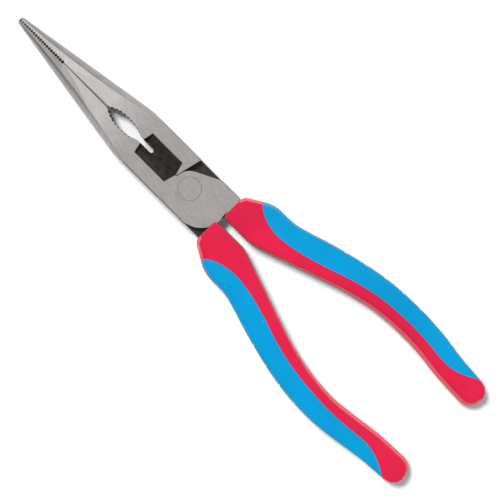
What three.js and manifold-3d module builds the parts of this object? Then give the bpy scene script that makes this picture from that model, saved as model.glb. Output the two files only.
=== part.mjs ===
// Needle nose pliers with a side cutter, a flush riveted lap joint and two-part moulded grips.
// Millimetres. The origin is the centre of the rivet's lower face: -X points to the nose tip,
// +X to the handles and +Z up along the rivet.
// Lever A lies on top in the joint, with its jaw at -Y and its handle at +Y. Lever B and its grip
// are the same shapes turned half a turn about X, apart from where the grip starts. Each shape is
// drawn about the mid thickness, and the whole tool is then raised by half the joint's thickness.

import * as THREE from "three";
import { mergeVertices } from "three/addons/utils/BufferGeometryUtils.js";
import Module from "manifold-3d";

const wasm = await Module();
wasm.setup();

// Head, shared by both levers
const TIP_X = -84.9;
const TIP_HALF_WIDTH = 1.25;
const TIP_ROUNDING = 0.4;
const NOSE_TAPER = 0.1607; // half width gained for each mm from the tip
const HEAD_HALF_WIDTH = 10.2;
const HEAD_HALF_THICKNESS = 5.2;
const HEAD_BEVEL = 0.55;
const HEAD_END_X = 17;
const FACET_START = 21.3; // from the tip: where the ground tip facet leaves the bite line
const FACET_START_HEIGHT = 4.5;
const FACET_INNER = 0.2;
const FACET_SPREAD = 0.12;
const FACET_SPREAD_GAIN = 0.0095;
const FACET_FALL = 0.18; // drop of the facet for each mm towards its outer edge
const NOSE_LENGTH = 56.5; // from the tip to the parallel part of the head
const TIP_HALF_THICKNESS = 1.15;
const FLANK_SEGMENTS = 8;

// Jaw faces
const TOOTH_GAP = 0.08;
const FINE_TEETH = 20;
const FINE_PITCH = 1.11;
const FINE_DEPTH_AT_TIP = 0.4;
const FINE_DEPTH_GAIN = 0.012; // for each tooth from the tip
const FINE_END_X = -62.5;
const FINE_END_GAP = 0.14;
const OVAL_START_X = -41;
const OVAL_START_GAP = 0.42;
const OVAL_TEETH = 9;
const OVAL_DEPTH = 0.45;
const WEB_HALF_HEIGHT = 0.3; // of a thin web that closes the grooves and the narrow gap
const WEB_GAP = 0.015;
const SLOT_HALF_WIDTH = 0.82;
const SLOT_END_X = -18.5;
const CUTTER_GAP = 0.01;

// Side cutter relief, a six-sided pocket in each face with a floor that falls to the blades
const POCKET_NOSE_X = -23.9;
const POCKET_REAR_X = -6.95;
const POCKET_HALF_WIDTH = 4.6;
const POCKET_EDGE_HEIGHT = 4.1;
const BLADE_HALF_LAND = 0.35;

// Lap joint
const LAP_GAP = 0.05; // each lap face stands this far from the mid plane
const BOSS_RADIUS = 6.35;
const SHOULDER_DISTANCE = 6.5;
const SHOULDER_ANGLE = 166.4; // direction of the shoulder's normal, in degrees
const OPENING_ANGLE = 50; // the shoulders meet after this much opening
const ROUND_END_X = 5.7;
const ROUND_END_RADIUS = 9.75;
const RIVET_RADIUS = 4.2;
const RIVET_SHANK_RADIUS = 3.6;
const RIVET_SINK = 1.2;
const RIVET_CLEARANCE = 0.05;
const RIVET_SEGMENTS = 48;

// Tangs inside the grips
const NECK_INNER_Y = 3.4;
const NECK_OUTER_Y = 9;
const NECK_END_X = 24;
const TANG_START_X = 17;
const TANG_END_X = 100;
const TANG_HALF_THICKNESS = 2.8;

// Grips
const FRONT_X_A = 15.4;
const FRONT_X_B = 14.3;
const FRONT_ROUNDING = 1.1;
const GRIP_END_X = 125.7;
const END_RADIUS = 5.4;
const END_CENTRE_Y = 19.2;
const GRIP_HALF_THICKNESS = 6.8;
const GRIP_CORNER = 3.2;
const CORNER_SEGMENTS = 4;
const LAYER = 2.3; // wall of the soft insert
const PIECE_GAP = 0.3;
const RIB_COUNT = 8;
const RIB_FIRST_X = 54.8;
const RIB_PITCH = 8.2;
const RIB_WIDTH = 0.8;
const RIB_DEPTH = 0.4;

const FAR = 40; // reaches past everything that is cut

const STEEL = new THREE.MeshStandardMaterial({ color: 0xa5a19f, roughness: 0.38, metalness: 1 });
const RIVET_STEEL = new THREE.MeshStandardMaterial({ color: 0xaaa6a4, roughness: 0.34, metalness: 1 });
const RED = new THREE.MeshStandardMaterial({ color: 0xe4284c, roughness: 0.45, metalness: 0 });
const BLUE = new THREE.MeshStandardMaterial({ color: 0x00a5de, roughness: 0.5, metalness: 0 });

const radians = THREE.MathUtils.degToRad;

// ---- Solids ----

// A closed geometry as a solid. Rings with coincident points leave empty triangles, which go.
function solid(geometry) {
  const bare = new THREE.BufferGeometry().setAttribute("position", geometry.getAttribute("position"));
  bare.setIndex(geometry.getIndex());
  const merged = mergeVertices(bare, 1e-4);
  const index = merged.getIndex().array;
  const kept = [];
  for (let i = 0; i < index.length; i += 3) {
    const [a, b, c] = [index[i], index[i + 1], index[i + 2]];
    if (a !== b && b !== c && c !== a) kept.push(a, b, c);
  }
  return new wasm.Manifold(
    new wasm.Mesh({
      numProp: 3,
      vertProperties: merged.getAttribute("position").array,
      triVerts: new Uint32Array(kept),
    }),
  );
}

// A plan outline, given as [x, y] points, raised from z0 to z1.
function prism(points, z0, z1) {
  const shape = new THREE.Shape(points.map(([x, y]) => new THREE.Vector2(x, y)));
  const geometry = new THREE.ExtrudeGeometry(shape, { depth: z1 - z0, bevelEnabled: false });
  return solid(geometry.translate(0, 0, z0));
}

// A solid through rings of [y, z] points of equal number, one ring at each x.
function loft(stations) {
  const size = stations[0].ring.length;
  const positions = stations.flatMap(({ x, ring }) => ring.flatMap(([y, z]) => [x, y, z]));
  const index = [];
  for (let i = 0; i + 1 < stations.length; i++) {
    for (let j = 0; j < size; j++) {
      const a = i * size + j;
      const b = i * size + ((j + 1) % size);
      index.push(a, b, b + size, a, b + size, a + size);
    }
  }
  const last = (stations.length - 1) * size;
  for (let j = 1; j + 1 < size; j++) {
    index.push(0, j + 1, j);
    index.push(last, last + j, last + j + 1);
  }
  const geometry = new THREE.BufferGeometry();
  geometry.setAttribute("position", new THREE.Float32BufferAttribute(positions, 3));
  geometry.setIndex(index);
  return solid(geometry);
}

// A solid of revolution about Z from [radius, z] points that start and end on the axis.
function revolve(profile, segments) {
  const points = profile.map(([r, z]) => new THREE.Vector2(r, z));
  return solid(new THREE.LatheGeometry(points, segments).rotateX(Math.PI / 2));
}

function mesh(name, body, material) {
  const { numProp, vertProperties, triVerts } = body.getMesh();
  const geometry = new THREE.BufferGeometry();
  const positions = new THREE.InterleavedBuffer(vertProperties, numProp);
  geometry.setAttribute("position", new THREE.InterleavedBufferAttribute(positions, 3, 0));
  geometry.setIndex(new THREE.BufferAttribute(triVerts, 1));
  const flat = geometry.toNonIndexed();
  flat.computeVertexNormals();
  const part = new THREE.Mesh(flat, material);
  part.name = name;
  return part;
}

function arc(centreX, centreY, radius, fromDegrees, toDegrees, segments) {
  return Array.from({ length: segments + 1 }, (_, i) => {
    const angle = radians(THREE.MathUtils.lerp(fromDegrees, toDegrees, i / segments));
    return [centreX + radius * Math.cos(angle), centreY + radius * Math.sin(angle)];
  });
}

function spline(points) {
  return new THREE.SplineCurve(points.map(([x, y]) => new THREE.Vector2(x, y)));
}

// The height of a spline, which never turns back along x, at each x asked for.
function heightOf(points) {
  const samples = spline(points).getPoints(points.length * 12);
  return (x) => {
    const next = samples.findIndex((p) => p.x >= x);
    if (next === 0) return samples[0].y;
    if (next < 0) return samples.at(-1).y;
    const [p, q] = [samples[next - 1], samples[next]];
    return THREE.MathUtils.mapLinear(x, p.x, q.x, p.y, q.y);
  };
}

// ---- Head ----

// Height of the ground face above mid thickness, by the distance from the tip
function faceHeight(fromTip) {
  if (fromTip < FACET_START) {
    return THREE.MathUtils.mapLinear(fromTip, 0, FACET_START, TIP_HALF_THICKNESS, FACET_START_HEIGHT);
  }
  const run = Math.min(fromTip, NOSE_LENGTH);
  return THREE.MathUtils.mapLinear(
    run, FACET_START, NOSE_LENGTH, FACET_START_HEIGHT, HEAD_HALF_THICKNESS,
  );
}

// Half width of the ground face, which widens faster than the cone that it is cut in
function faceHalfWidth(fromTip) {
  const onNose = 0.75 + 0.05 * fromTip + 0.0016 * fromTip ** 2;
  return Math.min(onNose, HEAD_HALF_WIDTH - HEAD_BEVEL);
}

// The head's section: a cone turned about X with a flat ground on each face, then a bevelled bar
function headRing(fromTip, scale = 1) {
  const cone = TIP_HALF_WIDTH + NOSE_TAPER * fromTip;
  const side = Math.min(cone, HEAD_HALF_WIDTH);
  const wall = Math.min(Math.sqrt(cone ** 2 - side ** 2), HEAD_HALF_THICKNESS - HEAD_BEVEL);
  const ridge = faceHeight(fromTip);
  const flat = faceHalfWidth(fromTip);
  const pastFacet = Math.max(0, fromTip - FACET_START);
  const inner = Math.min(flat, FACET_INNER + FACET_SPREAD * pastFacet + FACET_SPREAD_GAIN * pastFacet ** 2);
  const edge = Math.min(ridge - FACET_FALL * (flat - inner), Math.sqrt(cone ** 2 - flat ** 2));
  const from = { angle: Math.atan2(wall, side), radius: Math.hypot(wall, side) };
  const to = { angle: Math.atan2(edge, flat), radius: Math.hypot(edge, flat) };
  const quarter = [[side, 0]];
  for (let i = 0; i <= FLANK_SEGMENTS; i++) {
    const angle = THREE.MathUtils.lerp(from.angle, to.angle, i / FLANK_SEGMENTS);
    const radius = THREE.MathUtils.lerp(from.radius, to.radius, i / FLANK_SEGMENTS);
    quarter.push([radius * Math.cos(angle), radius * Math.sin(angle)]);
  }
  quarter.push([inner, ridge]);
  const upper = [...quarter, ...quarter.map(([y, z]) => [-y, z]).reverse()];
  const lower = upper.slice(1, -1).map(([y, z]) => [y, -z]).reverse();
  return [...upper, ...lower].map(([y, z]) => [y * scale, z * scale]);
}

function headEnvelope() {
  const noseSteps = [
    TIP_ROUNDING, 6, 13, FACET_START, 24, 27, 30.5, 34, 38.5, 43, 48, NOSE_LENGTH, 59, 61.5, 62.5,
  ];
  const stations = noseSteps.map((d) => ({ x: TIP_X + d, ring: headRing(d) }));
  stations.unshift({ x: TIP_X, ring: headRing(0, 0.75) });
  stations.push({ x: HEAD_END_X, ring: headRing(HEAD_END_X - TIP_X) });
  return loft(stations);
}

// The bite line of a jaw from tip to cutter: fine teeth, a widening gap, a toothed oval, a slot.
// The grooves between the teeth are cut to a share of their depth.
function biteLine(share = 1) {
  const points = [[TIP_X - 1, -TOOTH_GAP]];
  for (let i = 0; i < FINE_TEETH; i++) {
    const x = TIP_X + i * FINE_PITCH;
    const depth = FINE_DEPTH_AT_TIP + i * FINE_DEPTH_GAIN;
    points.push([x, -TOOTH_GAP], [x + FINE_PITCH / 2, -TOOTH_GAP - depth * share]);
  }
  points.push([FINE_END_X, -FINE_END_GAP], [OVAL_START_X, -OVAL_START_GAP]);
  const oval = spline([
    [OVAL_START_X + 1, -0.5], [-38.6, -1.2], [-36.6, -2], [-33.2, -2.35], [-29, -2.1], [-25.8, -1.1],
  ]);
  const steps = OVAL_TEETH * 2;
  for (let i = 0; i <= steps; i++) {
    const p = oval.getPointAt(i / steps);
    const across = oval.getTangentAt(i / steps).rotateAround(new THREE.Vector2(), -Math.PI / 2);
    const depth = i % 2 ? OVAL_DEPTH * share : 0;
    points.push([p.x + across.x * depth, p.y + across.y * depth]);
  }
  const endCentreX = SLOT_END_X - SLOT_HALF_WIDTH;
  const slotEnd = arc(endCentreX, 0, SLOT_HALF_WIDTH, -90, -5, 4);
  return [...points, [-25.2, -SLOT_HALF_WIDTH], ...slotEnd, [SLOT_END_X, -CUTTER_GAP]];
}

function sideCutterPocket() {
  const half = [
    [POCKET_NOSE_X, 0],
    [POCKET_NOSE_X + 1, POCKET_HALF_WIDTH],
    [POCKET_REAR_X - 1.3, POCKET_HALF_WIDTH],
    [POCKET_REAR_X, 0],
  ];
  const mirrored = half.slice(1, -1).map(([x, y]) => [x, -y]).reverse();
  const outline = prism([...half, ...mirrored].reverse(), 0, FAR);
  const floor = [
    [0, BLADE_HALF_LAND],
    [POCKET_HALF_WIDTH, POCKET_EDGE_HEIGHT],
    [FAR, POCKET_EDGE_HEIGHT],
    [FAR, FAR],
    [-FAR, FAR],
    [-FAR, POCKET_EDGE_HEIGHT],
    [-POCKET_HALF_WIDTH, POCKET_EDGE_HEIGHT],
  ];
  const above = loft([{ x: -FAR, ring: floor }, { x: 0, ring: floor }]);
  return outline.intersect(above);
}

// ---- Levers ----

// Plan of the lever's upper half: jaw, boss, stop face, neck and round end
function upperPlan(neckX) {
  const stopNormal = SHOULDER_ANGLE - OPENING_ANGLE;
  const boss = arc(0, 0, BOSS_RADIUS, 180, stopNormal, 10);
  const reach = 11;
  const stopEnd = [
    boss.at(-1)[0] + reach * Math.sin(radians(stopNormal)),
    boss.at(-1)[1] - reach * Math.cos(radians(stopNormal)),
  ];
  const roundEnd = arc(ROUND_END_X, 0, ROUND_END_RADIUS, 4, -80, 14);
  return [
    ...biteLine(),
    [-BOSS_RADIUS, -CUTTER_GAP],
    ...boss,
    stopEnd,
    [neckX, stopEnd[1]],
    [neckX, 1.1],
    ...roundEnd,
    [3, -FAR],
    [TIP_X - 1, -FAR],
  ].reverse();
}

// Plan of the lower half: the jaw alone, up to the shoulder that faces the other lever's boss
function lowerPlan() {
  const shoulderX = (y) => {
    const normal = radians(-SHOULDER_ANGLE);
    return (SHOULDER_DISTANCE - y * Math.sin(normal)) / Math.cos(normal);
  };
  return [
    ...biteLine(),
    [shoulderX(-CUTTER_GAP), -CUTTER_GAP],
    [shoulderX(-FAR), -FAR],
    [TIP_X - 1, -FAR],
  ].reverse();
}

// The neck and tang that the grip is moulded on, grown by the clearance for the grip's socket
function tang(neckX, clearance) {
  const inner = spline([
    [TANG_START_X, NECK_INNER_Y], [28, NECK_INNER_Y + 0.3], [36, 6.1], [58, 13.8], [72, 17.2], [84, 18.5],
    [TANG_END_X, 17.9],
  ]);
  const outer = spline([
    [TANG_START_X, NECK_OUTER_Y], [27, 12.4], [36, 13.6], [58, 19.6], [75, 22.7], [88, 23.1],
    [TANG_END_X, 22.2],
  ]);
  const innerLine = inner.getPoints(24).map((p) => [p.x, p.y - clearance]);
  const outerLine = outer.getPoints(24).map((p) => [p.x, p.y + clearance]).reverse();
  const end = arc(TANG_END_X, 20.05, 2.15 + clearance, -90, 90, 8).slice(1, -1);
  const tangHeight = TANG_HALF_THICKNESS + clearance;
  const bar = prism([...innerLine, ...end, ...outerLine], -tangHeight, tangHeight);
  const neck = prism(
    [
      [neckX - 2, NECK_INNER_Y - clearance],
      [NECK_END_X + clearance, NECK_INNER_Y - clearance],
      [NECK_END_X + clearance, NECK_OUTER_Y + clearance],
      [neckX - 2, NECK_OUTER_Y + clearance],
    ],
    LAP_GAP - clearance,
    HEAD_HALF_THICKNESS + clearance,
  );
  return neck.add(bar);
}

function rivetProfile(clearance) {
  const top = HEAD_HALF_THICKNESS;
  return [
    [0, -top],
    [RIVET_RADIUS + clearance, -top],
    [RIVET_SHANK_RADIUS + clearance, -top + RIVET_SINK],
    [RIVET_SHANK_RADIUS + clearance, top - RIVET_SINK],
    [RIVET_RADIUS + clearance, top],
    [0, top],
  ];
}

// The jaw at mid thickness, where a thin web closes the grooves and the gap in front of the oval
function webPlan() {
  const fromOval = biteLine(0).filter(([x]) => x > OVAL_START_X);
  return [
    [TIP_X - 1, -WEB_GAP],
    [OVAL_START_X, -WEB_GAP],
    ...fromOval,
    [SLOT_END_X, -FAR],
    [TIP_X - 1, -FAR],
  ].reverse();
}

function lever(neckX) {
  const head = headEnvelope();
  const upper = prism(upperPlan(neckX), LAP_GAP, FAR);
  const lower = prism(lowerPlan(), -FAR, HEAD_HALF_THICKNESS / 2);
  const web = prism(webPlan(), -WEB_HALF_HEIGHT, WEB_HALF_HEIGHT);
  const pocket = sideCutterPocket();
  return head
    .intersect(upper.add(lower).add(web))
    .subtract(pocket)
    .subtract(pocket.rotate([180, 0, 0]))
    .add(tang(neckX, 0))
    .subtract(revolve(rivetProfile(RIVET_CLEARANCE), RIVET_SEGMENTS));
}

// ---- Grips ----

// Outer and inner edges of the grip and the line where the soft insert starts, seen from above
const outerEdge = heightOf([
  [14, 10.6], [16.4, 12.1], [21.2, 15], [24, 16.5], [27.5, 17.35], [32, 17.35], [36, 17.8], [41, 19.15],
  [49.5, 21.8], [58, 24.05], [66.5, 25.95], [75, 27.2], [84, 27.75], [92, 27.5], [100.5, 26.65],
  [109, 25.4], [117, 24.75], [120.3, 24.6],
]);
const innerEdge = heightOf([
  [14, 1.25], [22, 1.25], [28, 1.3], [32.5, 2.55], [38, 4.4], [58, 11.15], [66.5, 13.65], [76, 15.55],
  [87, 16.35], [97, 15.75], [108, 14.4], [120.3, 13.8],
]);
const seamPoints = [
  [20.2, 15.6], [21.9, 13.7], [24, 12.2], [28, 10.65], [33.5, 10], [41, 10.95], [49.5, 13.1], [58, 15.9],
  [66.5, 18.45], [76, 20.3], [88, 21.1], [97, 20.75], [105, 20], [110, 20.3], [115.2, 22.1], [120.8, 25.3],
];

// Half thickness: parallel over the palm, thinner and round at the end
function gripHalfThickness(x) {
  const thinning = 0.7 * THREE.MathUtils.smoothstep(x, 95, 116);
  const rounding = Math.sqrt(1 - (Math.max(0, x - 115) / 10.95) ** 2);
  return (GRIP_HALF_THICKNESS - thinning) * rounding;
}

// A section of the grip as a rounded box, drawn in by the inset on every side but the inner one
function gripRing(x, inset, front) {
  const past = Math.max(0, x - (GRIP_END_X - END_RADIUS));
  const endReach = Math.sqrt(Math.max(0, END_RADIUS ** 2 - past ** 2));
  const low = (past ? END_CENTRE_Y - endReach : innerEdge(x)) + front;
  const high = (past ? END_CENTRE_Y + endReach : outerEdge(x)) - inset - front;
  const top = gripHalfThickness(x) - inset - front;
  const across = Math.min(GRIP_CORNER, 0.45 * (high - low));
  const down = Math.min(GRIP_CORNER, 0.9 * top);
  const corner = (y, z, from) =>
    arc(0, 0, 1, from, from + 90, CORNER_SEGMENTS).map(([c, s]) => [y + across * c, z + down * s]);
  return [
    ...corner(high - across, top - down, 0),
    ...corner(low + across, top - down, 90),
    ...corner(low + across, down - top, 180),
    ...corner(high - across, down - top, 270),
  ];
}

function gripBody(frontX) {
  const stations = [
    { x: frontX, ring: gripRing(frontX, 0, FRONT_ROUNDING) },
    { x: frontX + 0.3, ring: gripRing(frontX + 0.3, 0, FRONT_ROUNDING * 0.4) },
  ];
  const along = [
    frontX + FRONT_ROUNDING, 18.5, 21.2, 24, 27.5, 30, 33, 37, 43, 50, 58, 66, 75, 84, 93, 102, 110,
    116, 120.3, 122.4, 124, 125, GRIP_END_X - 0.1,
  ];
  return loft([...stations, ...along.map((x) => ({ x, ring: gripRing(x, 0, 0) }))]);
}

// The part of the grip under the soft insert
function gripCore(inset) {
  const along = [18.5, 21.2, 24, 27.5, 30, 33, 37, 43, 50, 58, 66, 75, 84, 93, 102, 110, 116, 119.3];
  return loft(along.map((x) => ({ x, ring: gripRing(x, inset, 0) })));
}

// Everything on the insert's side of the seam, with the seam moved inwards by the gap
function insertSide(gap) {
  const seam = spline(seamPoints);
  const steps = 44;
  const line = Array.from({ length: steps + 1 }, (_, i) => {
    const p = seam.getPoint(i / steps);
    const outward = seam.getTangent(i / steps).rotateAround(new THREE.Vector2(), Math.PI / 2);
    return [p.x - outward.x * gap, p.y - outward.y * gap];
  });
  return prism([...line, [line.at(-1)[0], FAR], [line[0][0], FAR]], -FAR, FAR);
}

// Shallow grooves across the back of the insert
function ribGrooves() {
  const grooves = Array.from({ length: RIB_COUNT }, (_, i) => {
    const x = RIB_FIRST_X + i * RIB_PITCH;
    const floor = outerEdge(x) - RIB_DEPTH;
    return prism([[x, floor], [x + RIB_WIDTH, floor + 1.5], [x - RIB_WIDTH, floor + 1.5]], -4, 4);
  });
  return grooves.reduce((all, groove) => all.add(groove));
}

function redSleeve(frontX, neckX) {
  const besideRoundEnd = revolve(
    [
      [0, -HEAD_HALF_THICKNESS - PIECE_GAP],
      [ROUND_END_RADIUS + PIECE_GAP, -HEAD_HALF_THICKNESS - PIECE_GAP],
      [ROUND_END_RADIUS + PIECE_GAP, PIECE_GAP],
      [0, PIECE_GAP],
    ],
    64,
  ).translate([ROUND_END_X, 0, 0]);
  return gripBody(frontX)
    .subtract(insertSide(PIECE_GAP))
    .add(gripCore(LAYER + PIECE_GAP))
    .subtract(tang(neckX, PIECE_GAP / 2))
    .subtract(besideRoundEnd);
}

function blueInsert(frontX) {
  return gripBody(frontX).intersect(insertSide(0)).subtract(gripCore(LAYER)).subtract(ribGrooves());
}

// ---- Assembly ----

const neckA = FRONT_X_A - PIECE_GAP;
const neckB = FRONT_X_B - PIECE_GAP;

const upperHalf = new THREE.Group();
upperHalf.add(
  mesh("lever_a", lever(neckA), STEEL),
  mesh("grip_sleeve_a", redSleeve(FRONT_X_A, neckA), RED),
  mesh("grip_insert_a", blueInsert(FRONT_X_A), BLUE),
);

const lowerHalf = new THREE.Group();
lowerHalf.rotation.x = Math.PI;
lowerHalf.add(
  mesh("lever_b", lever(neckB), STEEL),
  mesh("grip_sleeve_b", redSleeve(FRONT_X_B, neckB), RED),
  mesh("grip_insert_b", blueInsert(FRONT_X_B), BLUE),
);

const pliers = new THREE.Group();
pliers.position.z = HEAD_HALF_THICKNESS;
pliers.add(upperHalf, lowerHalf, mesh("rivet", revolve(rivetProfile(0), RIVET_SEGMENTS), RIVET_STEEL));

export default pliers;
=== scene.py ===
from functools import lru_cache
from math import pi, radians

import bmesh
import bpy
import numpy as np
from mathutils import Matrix, Vector


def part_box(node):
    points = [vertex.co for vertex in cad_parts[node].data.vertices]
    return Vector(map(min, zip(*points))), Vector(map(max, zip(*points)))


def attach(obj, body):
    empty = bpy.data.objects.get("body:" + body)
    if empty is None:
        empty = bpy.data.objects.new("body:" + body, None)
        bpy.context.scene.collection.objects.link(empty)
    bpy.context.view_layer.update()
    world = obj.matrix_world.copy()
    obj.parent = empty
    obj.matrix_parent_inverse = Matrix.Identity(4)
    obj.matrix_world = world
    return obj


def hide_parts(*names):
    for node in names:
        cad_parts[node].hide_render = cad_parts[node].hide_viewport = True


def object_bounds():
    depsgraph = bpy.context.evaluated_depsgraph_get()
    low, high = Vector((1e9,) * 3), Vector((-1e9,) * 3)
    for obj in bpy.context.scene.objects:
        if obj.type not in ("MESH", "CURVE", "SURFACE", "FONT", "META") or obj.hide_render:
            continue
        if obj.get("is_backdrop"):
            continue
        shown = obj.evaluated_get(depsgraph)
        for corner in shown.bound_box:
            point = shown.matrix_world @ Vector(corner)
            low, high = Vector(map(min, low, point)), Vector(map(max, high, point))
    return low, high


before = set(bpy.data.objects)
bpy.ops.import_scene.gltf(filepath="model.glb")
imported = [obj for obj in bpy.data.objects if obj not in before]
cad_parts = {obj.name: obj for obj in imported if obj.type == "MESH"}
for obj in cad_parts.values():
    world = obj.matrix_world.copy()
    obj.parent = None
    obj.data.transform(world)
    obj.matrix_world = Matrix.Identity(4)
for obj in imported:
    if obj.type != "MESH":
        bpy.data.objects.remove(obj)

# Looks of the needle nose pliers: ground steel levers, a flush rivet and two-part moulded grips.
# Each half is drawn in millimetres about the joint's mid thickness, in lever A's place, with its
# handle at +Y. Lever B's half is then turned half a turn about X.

cad_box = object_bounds()

MM = 0.001
BODIES = {"a": "lever_a_half", "b": "lever_b_half"}
rivet_low, rivet_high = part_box("rivet")
MID_Z = (rivet_low.z + rivet_high.z) / 2 / MM
JOINT_TOP = (rivet_high.z - rivet_low.z) / 2 / MM
RIVET_RADIUS = rivet_high.x / MM

# Levers and rivet
POCKET_NOSE_X, SLOT_END_X = -23.9, -18.5
OVAL_END_X, JAW_GAP_REACH = -25.2, 3.2
# Along this narrow gap the jaw faces are painted pale, as painted light.
GAP_CENTRE_X, GAP_HALF_LENGTH = -51.5, 10.9  # the narrow gap between the fine teeth and the oval
SIDE_WALL_Y, SLOT_REACH_Y = 9.5, 1.2
# The web is a thin sheet across the tooth grooves at mid thickness, put there for shade: its painted
# dark top makes the grooves read dark from above.
WEB_TOP_Z, RECESS_TOP_Z = 0.5, 4.5  # level faces lower than these are the web and the recesses
EDGE_BEVEL, HOLE_BEVEL, LAP_BEVEL = 0.1, 0.04, 0.85
CREASE_DEGREES, FACET_DEGREES = 9.3, 2
ROUND_END_X, ROUND_END_RELIEF, RELIEF_GAP = 5.7, 10.05, 0.3
RIVET_SHANK_RADIUS, RIVET_SINK, RIVET_CHAMFER = 3.6, 1.2, 0.05

# Grips: outer and inner edges and the start of the soft insert, seen from above
GRIP_TOP = cad_box[1].z / MM - MID_Z
FRONT_X = {side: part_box("grip_sleeve_" + side)[0].x / MM for side in "ab"}
END_RADIUS = 5.4
END_X = cad_box[1].x / MM
END_CENTRE = np.array([END_X - END_RADIUS, 19.2])
OUTER_EDGE = [
    (14, 10.6), (16.4, 12.1), (21.2, 15), (24, 16.5), (27.5, 17.35), (32, 17.35), (36, 17.8),
    (41, 19.15), (49.5, 21.8), (58, 24.05), (66.5, 25.95), (75, 27.2), (84, 27.7), (92, 27.5),
    (100.5, 26.65), (109, 25.4), (117, 24.75), (120.2, 24.6),
]
INNER_EDGE = [
    (14, 1.25), (22, 1.25), (28, 1.3), (32.5, 2.55), (38, 4.4), (58, 11.15), (66.5, 13.65),
    (76, 15.55), (87, 16.35), (97, 15.75), (108, 14.4), (120.2, 13.8),
]
SEAM = [
    (20.2, 15.6), (21.9, 13.7), (24, 12.2), (28, 10.65), (33.5, 10), (41, 10.95), (49.5, 13.1),
    (58, 15.9), (66.5, 18.45), (76, 20.3), (88, 21.1), (97, 20.75), (105, 20), (110, 20.3),
    (115.2, 22.1), (120.8, 25.3),
]

# The two grips aren't quite alike: where each curve's front lies along x and its rear across
OUTER_SHIFT = {"a": (0, 0.42), "b": (-0.9, -0.45)}
INNER_SHIFT = {"a": (0, 0.35), "b": (0, -0.45)}
SEAM_SHIFT = {"a": (0.6, 0.15), "b": (-0.7, -0.75)}
FRONT_SHIFT_X, REAR_SHIFT_X, SEAM_REAR_SHIFT_X = (24, 36), (86, 102), (58, 76)

INNER_CORNER, OUTER_CORNER, FRONT_FILLET = 0.9, 1.3, 0.7
CROWN, CROWN_REACH = 0.075, 5.5  # share of the height, and how far in from the edge it is reached
THINNING, THINNING_X = 0.7, (95, 116)
# How far in from each edge the wall leans, at places along x
OUTER_LEAN = [(24, 1.1), (32, 0.5)]
INNER_LEAN = {"a": [(28, 0.4), (58, 0.55), (92, 1.3)], "b": [(28, 0.4), (58, 0.45), (92, 1.05)]}
LAYER = 2.3  # thickness of the insert
SEAM_GAP = 0.03
SEAM_CHAMFER = 0.1
INSERT_START_X, INSERT_END_X = (19.5, 24), (112, 120.8)  # the seam meets the outer edge in these

RIB_XS = [54.8 + 8.2 * i for i in range(8)]
RIB_DEPTH, RIB_HALF_WIDTH, RIB_REACH = 0.5, 0.5, 4.8

# Finishes
GRINDING_TURN = radians(-14)
# The nose's ground faces are painted brighter than the joint's: a painted highlight.
NOSE_PAINTED_HIGHLIGHT, NOSE_HIGHLIGHT_X = 1.5, (-42, -26)

# Light. The room's brightness goes by the height of its direction: 0 at the horizon, 1 straight up.
ROOM_LIGHT = [(0, 0.52), (0.35, 0.44), (0.6, 0.42), (0.85, 0.5), (1, 0.53)]
ROOM_SIDE = (0.37, 0.64, 0.3)
ROOM_BASE, ROOM_LEAST = 0.876, 0.55
SUN_DIRECTION = (-0.32, 0.03, 0.945)
SUN_ANGLE = radians(12)
SUN_STRENGTH = 4.15

# Camera: millimetres of lens and sensor, and metres from the origin and above mid thickness
CAMERA_LENS, CAMERA_SENSOR, CAMERA_CLIP = 180, 36, 10
CAMERA_X, CAMERA_Y, CAMERA_HEIGHT = 0.0302, -0.0002, 0.8837
FLOOR_REACH = 3


# ---- Meshes ----

def new_object(name, mesh):
    obj = bpy.data.objects.new(name, mesh)
    bpy.context.scene.collection.objects.link(obj)
    return obj


def clean(obj, merge):
    """Merge close points, drop empty faces and turn every face outwards."""
    bm = bmesh.new()
    bm.from_mesh(obj.data)
    bmesh.ops.remove_doubles(bm, verts=bm.verts, dist=merge)
    bmesh.ops.dissolve_degenerate(bm, edges=bm.edges, dist=merge)
    bmesh.ops.recalc_face_normals(bm, faces=bm.faces)
    bm.to_mesh(obj.data)
    bm.free()


def mesh_object(name, verts, faces):
    mesh = bpy.data.meshes.new(name)
    mesh.from_pydata([tuple(v) for v in verts], [], faces)
    obj = new_object(name, mesh)
    clean(obj, 1e-4)
    return obj


def apply_modifiers(obj):
    graph = bpy.context.evaluated_depsgraph_get()
    mesh = bpy.data.meshes.new_from_object(obj.evaluated_get(graph))
    obj.modifiers.clear()
    obj.data = mesh


def subtract(obj, cutter):
    cut = obj.modifiers.new("cut", "BOOLEAN")
    cut.operation = "DIFFERENCE"
    cut.solver = "EXACT"
    cut.object = cutter
    apply_modifiers(obj)
    bpy.data.objects.remove(cutter)


def shade(obj, sharp_degrees, level_degrees=180):
    """Smooth shading, apart from edges that turn more than the angle. Level faces have their own."""
    bm = bmesh.new()
    bm.from_mesh(obj.data)
    for face in bm.faces:
        face.smooth = True
    for edge in bm.edges:
        is_level = all(abs(face.normal.z) > 0.9 for face in edge.link_faces)
        limit = min(sharp_degrees, level_degrees) if is_level else sharp_degrees
        edge.smooth = edge.calc_face_angle(0) < radians(limit)
    bm.to_mesh(obj.data)
    bm.free()


def side_matrix(side):
    turn = Matrix.Rotation(pi if side == "b" else 0, 4, "X")
    return Matrix.Translation((0, 0, MID_Z * MM)) @ Matrix.Scale(MM, 4) @ turn


def place(obj, side):
    obj.data.transform(side_matrix(side))


def copy_of_node(name, node, side):
    """A CAD node's shape as a new mesh, in millimetres in lever A's place."""
    obj = new_object(name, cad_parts[node].data.copy())
    obj.data.transform(side_matrix(side).inverted())
    obj.data.materials.clear()
    clean(obj, 1e-3)
    return obj


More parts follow.
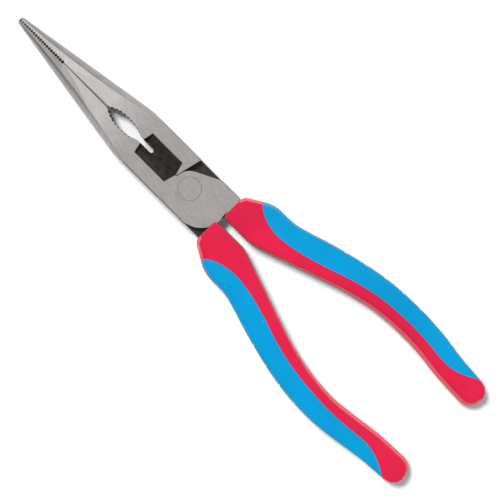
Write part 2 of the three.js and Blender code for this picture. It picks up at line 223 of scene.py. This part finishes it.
def loft(name, stations, rings):
    """A closed body through rings of (y, z) points, one ring at each x."""
    size = len(rings[0])
    verts = [(x, y, z) for x, ring in zip(stations, rings) for y, z in ring]
    faces = []
    for i in range(len(stations) - 1):
        for j in range(size):
            a, b = i * size + j, i * size + (j + 1) % size
            faces.append((a, b, b + size, a + size))
    faces.append(tuple(range(size)))
    faces.append(tuple(range(len(verts) - size, len(verts))))
    return mesh_object(name, verts, faces)


def revolve(name, profile, segments):
    """A closed body round Z from (radius, z) points that start and end on the axis."""
    turn = 2 * pi * np.arange(segments) / segments
    verts = [(r * np.cos(t), r * np.sin(t), z) for r, z in profile for t in turn]
    faces = []
    for i in range(len(profile) - 1):
        for j in range(segments):
            a, b = i * segments + j, i * segments + (j + 1) % segments
            faces.append((a, b, b + segments, a + segments))
    return mesh_object(name, verts, faces)


# ---- Curves ----

def spline(points, steps=16):
    """Points on a uniform Catmull-Rom curve."""
    p = np.array([points[0], *points, points[-1]], float)
    t = np.linspace(0, 1, steps, endpoint=False)[:, None]
    out = []
    for a, b, c, d in zip(p, p[1:], p[2:], p[3:]):
        bend = (2 * a - 5 * b + 4 * c - d) * t**2 + (3 * b - a - 3 * c + d) * t**3
        out.append(b + ((c - a) * t + bend) / 2)
    return np.vstack([*out, p[-1:]])


def on_line(line, x):
    return float(np.interp(x, line[:, 0], line[:, 1]))


def lengths_along(line):
    steps = np.linalg.norm(np.diff(line, axis=0), axis=1)
    return np.concatenate([[0], np.cumsum(steps)])


def points_at(line, distances):
    along = lengths_along(line)
    return np.stack([np.interp(distances, along, line[:, k]) for k in range(2)], axis=1)


def distance_to(border, points):
    """Distance from each point to a polyline."""
    start, along = border[:-1], np.diff(border, axis=0)
    to_point = points[:, None] - start
    share = (to_point * along).sum(2) / (along**2).sum(1)
    nearest = np.clip(share, 0, 1)[..., None] * along
    return np.linalg.norm(to_point - nearest, axis=2).min(1)


# ---- Grip surface ----

def smooth_step(x, low, high):
    share = np.clip((x - low) / (high - low), 0, 1)
    return share**2 * (3 - 2 * share)


def shifted(points, shift, rear_x):
    """A curve with its front moved along x and its rear moved across."""
    x, y = np.array(points, float).T
    front, rear = shift
    along = front * (1 - smooth_step(x, *FRONT_SHIFT_X))
    return spline(np.stack([x + along, y + rear * smooth_step(x, *rear_x)], axis=1))


def corner_inset(distance, radius):
    past = np.maximum(0, radius - distance)
    return radius - np.sqrt(radius**2 - past**2)


def border(line, corner, front_x, end_centre, towards):
    """One edge of the grip from the rounded front corner to the middle of the round end."""
    turn = np.linspace(0, pi / 2, 24)
    corner_x = front_x + corner * (1 - np.cos(turn))
    corner_y = np.interp(corner_x, line[:, 0], line[:, 1])
    corner_y -= towards * corner_inset(corner_x - front_x, corner)
    end = end_centre + END_RADIUS * np.stack([np.sin(turn), towards * np.cos(turn)], axis=1)
    straight = line[(line[:, 0] > corner_x[-1] + 0.01) & (line[:, 0] < end[0, 0] - 0.01)]
    return np.vstack([np.stack([corner_x, corner_y], axis=1), straight, end])


OUTER, INNER, SEAM_LINE = {}, {}, {}
for side in "ab":
    outer_line = shifted(OUTER_EDGE, OUTER_SHIFT[side], REAR_SHIFT_X)
    inner_line = shifted(INNER_EDGE, INNER_SHIFT[side], REAR_SHIFT_X)
    end_centre = END_CENTRE + [0, (OUTER_SHIFT[side][1] + INNER_SHIFT[side][1]) / 2]
    OUTER[side] = border(outer_line, OUTER_CORNER, FRONT_X[side], end_centre, 1)
    INNER[side] = border(inner_line, INNER_CORNER, FRONT_X[side], end_centre, -1)
    SEAM_LINE[side] = shifted(SEAM, SEAM_SHIFT[side], SEAM_REAR_SHIFT_X)


def rim(distance, lean):
    """Share of the full height near an edge: a steep wall, then a soft crown."""
    wall = np.maximum(distance / lean, 1e-9) ** 0.75
    crown = 1 - CROWN * (1 - np.clip(distance / CROWN_REACH, 0, 1)) ** 2
    return (wall**-8 + crown**-8) ** (-1 / 8)


def surface_height(x, ys, side):
    """Height of the grip's surface above mid thickness, at points across it."""
    points = np.stack([np.full_like(ys, x), ys], axis=1)
    outward = rim(distance_to(OUTER[side], points), np.interp(x, *zip(*OUTER_LEAN)))
    inward = rim(distance_to(INNER[side], points), np.interp(x, *zip(*INNER_LEAN[side])))
    top = GRIP_TOP - THINNING * smooth_step(x, *THINNING_X)
    top -= corner_inset(x - FRONT_X[side], FRONT_FILLET)
    return top * (outward**-6 + inward**-6 - 1) ** (-1 / 6)


@lru_cache(maxsize=None)
def section(x, side):
    """Upper half of the section as (y, z) points, from the outer edge to the inner one."""
    inner, outer = on_line(INNER[side], x), on_line(OUTER[side], x)
    ys = (inner + outer) / 2 + (outer - inner) / 2 * np.cos(np.linspace(0, pi, 161))
    heights = surface_height(x, ys, side)
    heights[[0, -1]] = 0
    return np.stack([ys, heights], axis=1)


def split_at(line, y):
    """The two parts of a line that runs down in y: from its start to y, and from y to its end."""
    y = min(max(y, line[-1, 0]), line[0, 0])
    at = [[y, np.interp(-y, -line[:, 0], line[:, 1])]]
    return np.vstack([line[line[:, 0] > y], at]), np.vstack([at, line[line[:, 0] < y]])


def crossing(side, low, high):
    """The x between two limits where the seam meets the outer edge."""
    def seam_is_inside(x):
        return on_line(SEAM_LINE[side], x) < on_line(OUTER[side], x)
    at_low = seam_is_inside(low)
    for _ in range(40):
        middle = (low + high) / 2
        low, high = (middle, high) if seam_is_inside(middle) == at_low else (low, middle)
    return low


INSERT_START = {side: crossing(side, *INSERT_START_X) for side in "ab"}
INSERT_END = {side: crossing(side, *INSERT_END_X) for side in "ab"}


def seam_y(x, side):
    """Where the insert starts across the section at x: at the outer edge if there is no insert."""
    outer = on_line(OUTER[side], x)
    has_insert = INSERT_START[side] < x < INSERT_END[side]
    return min(on_line(SEAM_LINE[side], x), outer) if has_insert else outer


def bed(x, side, y, depth):
    """From the surface at y down the seam's wall, then along the bed under the insert to its spine."""
    upper = section(x, side)
    inner, outer = upper[-1, 0], upper[0, 0]
    squeeze = (outer - inner - depth) / (outer - inner)
    core_y = inner + (upper[:, 0] - inner) * squeeze
    core = np.stack([core_y, upper[:, 1] * (1 - depth / GRIP_TOP)], axis=1)
    top = split_at(upper, y)[1][:1]
    if core[0, 0] > y + 1e-6:
        return np.vstack([top, split_at(core, y)[0][::-1]])
    return np.vstack([top, [[y, 0]]])


def from_seam(line, count):
    """Evenly spaced points on a line, whose start is pulled back for a fine groove at the seam."""
    total = lengths_along(line)[-1]
    return points_at(line, np.linspace(min(SEAM_CHAMFER, total / 3), total, count))


def closed_ring(surface, under):
    """A ring from upper halves that both run from the seam to mid thickness."""
    flip = [1, -1]
    return np.vstack([surface, (surface * flip)[-2::-1], under * flip, under[-2::-1]])


def sleeve_ring(x, side):
    y = seam_y(x, side)
    visible = split_at(section(x, side), y)[1]
    return closed_ring(from_seam(visible, 56), from_seam(bed(x, side, y, LAYER + SEAM_GAP), 16))


def insert_ring(x, side):
    y = min(seam_y(x, side) + SEAM_GAP, on_line(OUTER[side], x))
    visible = split_at(section(x, side), y)[0][::-1]
    ribs = max(0, 1 - min(abs(x - rib) for rib in RIB_XS) / RIB_HALF_WIDTH)
    surface = from_seam(visible, 36)
    surface[:, 0] -= RIB_DEPTH * ribs * np.clip((RIB_REACH - surface[:, 1]) / 0.8, 0, 1)
    return closed_ring(surface, from_seam(bed(x, side, y, LAYER), 16))


def stations(low, high, side):
    """Section positions: every millimetre, and closer at each change of shape."""
    closer = 2.2 * np.linspace(0, 1, 12) ** 2
    turn = np.linspace(0, pi / 2, 14)
    rib_steps = RIB_HALF_WIDTH * np.linspace(-1, 1, 5)
    xs = np.concatenate([
        FRONT_X[side] + 2.2 * (1 - np.cos(turn)),
        np.arange(FRONT_X[side] + 3, END_CENTRE[0]),
        END_CENTRE[0] + END_RADIUS * np.sin(turn) * 0.9995,
        INSERT_START[side] + closer,
        INSERT_END[side] - closer,
        *[rib + rib_steps for rib in RIB_XS],
    ])
    xs = np.unique(np.round(xs[(xs > low) & (xs < high)], 4))
    kept = [low, *[b for a, b in zip(np.append(low, xs), xs) if b - a > 0.012], high]
    return [float(x) for x in kept]


def grip_sleeve(side):
    along = stations(FRONT_X[side], END_X - 0.002, side)
    sleeve = loft("moulded_sleeve_" + side, along, [sleeve_ring(x, side) for x in along])
    shade(sleeve, 30)
    subtract(sleeve, copy_of_node("socket", "lever_" + side, side))
    low, high = -JOINT_TOP - RELIEF_GAP, RELIEF_GAP
    relief = [(0, low), (ROUND_END_RELIEF, low), (ROUND_END_RELIEF, high), (0, high)]
    cutter = revolve("relief", relief, 96)
    cutter.data.transform(Matrix.Translation((ROUND_END_X, 0, 0)))
    subtract(sleeve, cutter)
    return sleeve


def grip_insert(side):
    along = stations(INSERT_START[side], INSERT_END[side], side)
    insert = loft("soft_insert_" + side, along, [insert_ring(x, side) for x in along])
    shade(insert, 30)
    return insert


# ---- Levers and rivet ----

GROUND, OXIDE, FORGED, JAW_PAINTED_LIGHT_AND_SHADE = range(4)


def finish_of(centre, normal):
    """The material slot of a lever's face, by where it is and which way it looks."""
    on_nose = centre.x < POCKET_NOSE_X
    if abs(normal.z) > 0.85:
        if on_nose:
            # The web's level top takes the jaw's painted shade, and its painted light along the narrow
            # gap.
            return GROUND if abs(centre.z) > WEB_TOP_Z else JAW_PAINTED_LIGHT_AND_SHADE
        return GROUND if abs(centre.z) > RECESS_TOP_Z else OXIDE
    # Jaw walls between the teeth: painted shade, and painted light along the narrow gap.
    if centre.x < OVAL_END_X and normal.y > 0.1 and abs(normal.z) < 0.3:
        return JAW_PAINTED_LIGHT_AND_SHADE
    in_slot = centre.x < SLOT_END_X + 0.2 and abs(centre.y) < SLOT_REACH_Y and abs(normal.z) < 0.3
    in_hole = centre.xy.length < RIVET_RADIUS + 0.1
    on_side = abs(centre.y) > SIDE_WALL_Y - 0.3 and centre.x < ROUND_END_X + 6
    return FORGED if on_nose or in_slot or in_hole or on_side else OXIDE


def bevel_share(edge):
    """Width of the bevel on an edge as a share of the widest one."""
    a, b = (v.co for v in edge.verts)
    middle = (a + b) / 2
    turn = edge.calc_face_angle(0)
    if turn < radians(25) or (b - a).length < 0.3 or not edge.is_convex:
        return 0
    if middle.x < POCKET_NOSE_X and abs(middle.y) < JAW_GAP_REACH:
        return 0
    if middle.xy.length < RIVET_RADIUS + 0.1:
        return HOLE_BEVEL / LAP_BEVEL
    on_lap_rim = abs(middle.z) < 0.2 and abs(middle.y) > SIDE_WALL_Y and abs(b.y - a.y) < 0.1
    return 1 if on_lap_rim else EDGE_BEVEL / LAP_BEVEL


def lever(side):
    obj = copy_of_node("forged_lever_" + side, "lever_" + side, side)
    bm = bmesh.new()
    bm.from_mesh(obj.data)
    bmesh.ops.dissolve_limit(bm, angle_limit=radians(0.2), verts=bm.verts, edges=bm.edges)
    weights = bm.edges.layers.float.new("bevel_weight_edge")
    for edge in bm.edges:
        edge[weights] = bevel_share(edge)
    bm.to_mesh(obj.data)
    bm.free()
    bevel = obj.modifiers.new("bevel", "BEVEL")
    bevel.limit_method = "WEIGHT"
    bevel.width = LAP_BEVEL
    bevel.segments = 2
    bevel.use_clamp_overlap = False
    apply_modifiers(obj)
    shade(obj, CREASE_DEGREES, FACET_DEGREES)
    return obj


def rivet():
    top = JOINT_TOP
    upper = [
        (0, top),
        (RIVET_RADIUS - RIVET_CHAMFER, top),
        (RIVET_RADIUS - 0.02, top - RIVET_CHAMFER),
        (RIVET_SHANK_RADIUS, top - RIVET_SINK),
    ]
    profile = upper + [(r, -z) for r, z in reversed(upper)]
    obj = revolve("flush_rivet", profile, 96)
    shade(obj, CREASE_DEGREES)
    return obj


# ---- Materials ----

class Nodes:
    """Shader nodes, with short names for the ones used here."""

    def __init__(self, owner, place):
        owner.use_nodes = True
        self.tree = owner.node_tree
        self.place = self.node("ShaderNodeTexCoord").outputs[place]

    def node(self, kind, inputs=(), **settings):
        made = self.tree.nodes.new(kind)
        for key, value in settings.items():
            setattr(made, key, value)
        for key, value in dict(inputs).items():
            self.feed(made.inputs[key], value)
        return made

    def feed(self, socket, value):
        if isinstance(value, bpy.types.NodeSocket):
            self.tree.links.new(value, socket)
        else:
            socket.default_value = value

    def noise(self, scale, detail=3.0, stretch=(1, 1, 1), turn=0.0):
        """Noise with features of about 1 / scale metres, drawn out by the stretch."""
        inputs = {"Vector": self.place, "Rotation": (0, 0, turn), "Scale": [s / scale for s in stretch]}
        spot = self.node("ShaderNodeMapping", inputs, vector_type="TEXTURE").outputs[0]
        inputs = {"Vector": spot, "Scale": 1.0, "Detail": detail}
        return self.node("ShaderNodeTexNoise", inputs).outputs[0]

    def remap(self, value, low, high, to_low, to_high):
        inputs = {"Value": value, "From Min": low, "From Max": high, "To Min": to_low, "To Max": to_high}
        return self.node("ShaderNodeMapRange", inputs).outputs[0]

    def math(self, operation, a, b=0.0):
        return self.node("ShaderNodeMath", {0: a, 1: b}, operation=operation).outputs[0]

    def axis(self, vector, index):
        return self.node("ShaderNodeSeparateXYZ", {0: vector}).outputs[index]

    def dot(self, a, b):
        return self.node("ShaderNodeVectorMath", {0: a, 1: b}, operation="DOT_PRODUCT").outputs["Value"]

    def scaled(self, colour, factor):
        inputs = {0: colour, "Scale": factor}
        return self.node("ShaderNodeVectorMath", inputs, operation="SCALE").outputs[0]

    def mix(self, share, a, b):
        made = self.node("ShaderNodeMix", data_type="RGBA")
        for name, value in {"Factor_Float": share, "A_Color": a, "B_Color": b}.items():
            self.feed(next(s for s in made.inputs if s.identifier == name), value)
        return next(s for s in made.outputs if s.identifier == "Result_Color")


class Material(Nodes):
    """A node material around one Principled shader."""

    def __init__(self, name):
        self.material = bpy.data.materials.new(name)
        super().__init__(self.material, "Object")
        self.shader = self.tree.nodes["Principled BSDF"]

    def bump(self, height, depth):
        inputs = {"Height": height, "Strength": 1.0, "Distance": depth}
        self.feed(self.shader.inputs["Normal"], self.node("ShaderNodeBump", inputs).outputs[0])

    def finish(self, colour, roughness, metallic, specular=0.5):
        names = ("Base Color", "Roughness", "Metallic", "Specular IOR Level")
        for name, value in zip(names, (colour, roughness, metallic, specular)):
            self.feed(self.shader.inputs[name], value)
        return self.material


def ground_steel():
    """Ground faces, with fine and coarse streaks. The nose is painted brighter than the joint, a painted
    highlight for the light its faces catch.
    """
    m = Material("ground_steel")
    fine = m.noise(9000, 2.0, (30, 1, 1), GRINDING_TURN)
    coarse = m.noise(3300, 2.0, (9, 1, 1), GRINDING_TURN)
    cloud = m.noise(90, 3.0)
    streaks = m.math("ADD", m.remap(fine, 0.3, 0.7, -0.07, 0.07), m.remap(coarse, 0.3, 0.7, -0.11, 0.11))
    tone = m.math("ADD", streaks, m.remap(cloud, 0.3, 0.7, 0.97, 1.03))
    nose_x, joint_x = NOSE_HIGHLIGHT_X
    # Painted highlight: the colour is scaled up from the joint towards the nose.
    nose = m.remap(m.axis(m.place, 0), nose_x * MM, joint_x * MM, NOSE_PAINTED_HIGHLIGHT, 1.0)
    colour = m.scaled((0.65, 0.622, 0.613), m.math("MULTIPLY", tone, nose))
    m.bump(m.math("ADD", fine, coarse), 4e-6)
    return m.finish(colour, m.remap(coarse, 0.3, 0.7, 0.28, 0.38), 1.0)


def forged_steel():
    m = Material("forged_steel")
    grain = m.noise(3500, 3.0, (3, 1, 1), GRINDING_TURN)
    cloud = m.noise(250, 4.0)
    colour = m.mix(m.remap(cloud, 0.35, 0.7, 0, 1), (0.35, 0.332, 0.325, 1), (0.42, 0.4, 0.392, 1))
    m.bump(grain, 6e-6)
    return m.finish(colour, m.remap(grain, 0.3, 0.7, 0.36, 0.5), 1.0)


def black_oxide():
    m = Material("black_oxide")
    cloud = m.noise(400, 4.0)
    grain = m.noise(5000, 2.0, (6, 1, 1))
    colour = m.mix(m.remap(cloud, 0.35, 0.7, 0, 1), (0.025, 0.022, 0.021, 1), (0.047, 0.042, 0.039, 1))
    m.bump(grain, 6e-6)
    return m.finish(colour, m.remap(cloud, 0.3, 0.7, 0.38, 0.55), 0.4, 0.35)


def jaw_steel_painted_light_and_shade():
    """The jaw faces: painted dark between the teeth as painted shade, and painted pale in the narrow gap
    as painted light.
    """
    m = Material("jaw_steel_painted_light_and_shade")
    cloud = m.noise(500, 4.0)
    from_gap = m.math("ABSOLUTE", m.math("SUBTRACT", m.axis(m.place, 0), GAP_CENTRE_X * MM))
    # Painted light: the jaw faces are pale along the narrow gap.
    plain = m.remap(from_gap, (GAP_HALF_LENGTH - 1) * MM, GAP_HALF_LENGTH * MM, 1, 0)
    # Painted shade: the jaw faces are dark between the teeth.
    dark = m.mix(m.remap(cloud, 0.35, 0.7, 0, 1), (0.13, 0.125, 0.12, 1), (0.19, 0.18, 0.175, 1))
    m.bump(cloud, 8e-6)
    return m.finish(m.mix(plain, dark, (0.75, 0.74, 0.73, 1)), 0.42, 1.0)


def moulded(name, base, painted_wall_highlight, roughness, grain_depth, specular):
    """Moulded plastic with a fine grain, light scuffs, and walls that are more matt and painted paler as
    a painted highlight.
    """
    m = Material(name)
    cloud = m.noise(60, 2.0)
    grain = m.noise(4500, 2.0)
    scuff = m.remap(m.noise(900, 4.0, (5, 1, 1), radians(30)), 0.66, 0.76, 0, 0.07)
    level = m.math("ABSOLUTE", m.axis(m.node("ShaderNodeNewGeometry").outputs["Normal"], 2))
    edge = m.remap(level, 0.2, 0.75, 1, 0)
    tint = m.scaled(base, m.remap(cloud, 0.3, 0.7, 0.92, 1.07))
    worn = m.mix(scuff, tint, [min(1, 0.7 * c + 0.2) for c in base] + [1])
    # Painted highlight: steep walls take the paler wall colour.
    colour = m.mix(m.math("MULTIPLY", edge, 0.8), worn, painted_wall_highlight)
    varied = m.remap(cloud, 0.3, 0.7, roughness - 0.05, roughness + 0.05)
    matt = m.math("ADD", varied, m.math("MULTIPLY", edge, 0.2))
    m.bump(grain, grain_depth)
    return m.finish(colour, matt, 0.0, m.remap(edge, 0, 1, specular, 0.1))


def floor_material():
    m = Material("pale_floor")
    tone = m.remap(m.noise(40, 3.0), 0.3, 0.7, 0.985, 1.0)
    return m.finish(m.scaled((0.66, 0.66, 0.66), tone), 0.9, 0.0, 0.1)


# ---- Assembly ----

def dress(obj, side, node, materials, slot_of=None):
    """Finish a piece, put it in place and let it stand for its CAD node."""
    for material in materials:
        obj.data.materials.append(material)
    if slot_of:
        for face in obj.data.polygons:
            face.material_index = slot_of(face.center, face.normal)
    place(obj, side)
    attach(obj, BODIES[side])
    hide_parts(node)


steel, oxide, forged, jaw_painted_light_and_shade = ground_steel(), black_oxide(), forged_steel(), jaw_steel_painted_light_and_shade()
# The second colour of each is the painted highlight on the walls.
red = moulded("moulded_red", (0.45, 0.006, 0.037), (0.95, 0.13, 0.14, 1), 0.42, 6e-6, 0.25)
blue = moulded("soft_blue", (0.0, 0.2, 0.41), (0.08, 0.3, 0.5, 1), 0.45, 9e-6, 0.12)

for side in "ab":
    lever_finishes = [steel, oxide, forged, jaw_painted_light_and_shade]
    dress(lever(side), side, "lever_" + side, lever_finishes, finish_of)
    for grip, node, slot_name, material in (
        (grip_sleeve(side), "grip_sleeve_" + side, "sleeve_red", red),
        (grip_insert(side), "grip_insert_" + side, "insert_blue", blue),
    ):
        dress(grip, side, node, [material])
        grip.visible_diffuse = False  # so that no red or blue light falls on the floor
dress(rivet(), "b", "rivet", [steel])


# ---- Floor, light and camera ----

def floor():
    z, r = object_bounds()[0].z, FLOOR_REACH
    obj = mesh_object("floor", [(-r, -r, z), (r, -r, z), (r, r, z), (-r, r, z)], [(0, 1, 2, 3)])
    obj.data.materials.append(floor_material())
    obj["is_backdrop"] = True


def studio():
    """A bright room, with more light from lever A's side, seen by the camera as plain white."""
    room = bpy.data.worlds.new("studio")
    nodes = Nodes(room, "Generated")
    ramp = nodes.node("ShaderNodeValToRGB", {0: nodes.axis(nodes.place, 2)})
    for _ in ROOM_LIGHT[2:]:
        ramp.color_ramp.elements.new(1)
    for stop, (height, brightness) in zip(ramp.color_ramp.elements, ROOM_LIGHT):
        stop.position = height
        stop.color = (brightness, brightness, brightness, 1)
    side = nodes.math("ADD", nodes.dot(nodes.place, ROOM_SIDE), ROOM_BASE)
    lit = nodes.scaled(ramp.outputs[0], nodes.math("MAXIMUM", side, ROOM_LEAST))
    seen = nodes.node("ShaderNodeLightPath").outputs["Is Camera Ray"]
    nodes.feed(nodes.tree.nodes["Background"].inputs["Color"], nodes.mix(seen, lit, (1, 1, 1, 1)))
    bpy.context.scene.world = room


def sun():
    """A steep light that gives the short shadows. Polished faces show the room and not this light."""
    data = bpy.data.lights.new("sun", "SUN")
    data.energy = SUN_STRENGTH
    data.angle = SUN_ANGLE
    obj = bpy.data.objects.new("sun", data)
    bpy.context.scene.collection.objects.link(obj)
    obj.rotation_euler = Vector(SUN_DIRECTION).to_track_quat("Z", "Y").to_euler()
    obj.visible_glossy = False


def camera():
    data = bpy.data.cameras.new("camera")
    data.sensor_width = CAMERA_SENSOR
    data.lens = CAMERA_LENS
    data.clip_end = CAMERA_CLIP
    obj = bpy.data.objects.new("camera", data)
    bpy.context.scene.collection.objects.link(obj)
    obj.location = (CAMERA_X, CAMERA_Y, MID_Z * MM + CAMERA_HEIGHT)
    obj.rotation_euler = (0, 0, radians(45))
    bpy.context.scene.camera = obj


floor()
studio()
sun()
camera()
bpy.context.scene.view_settings.view_transform = "Standard"
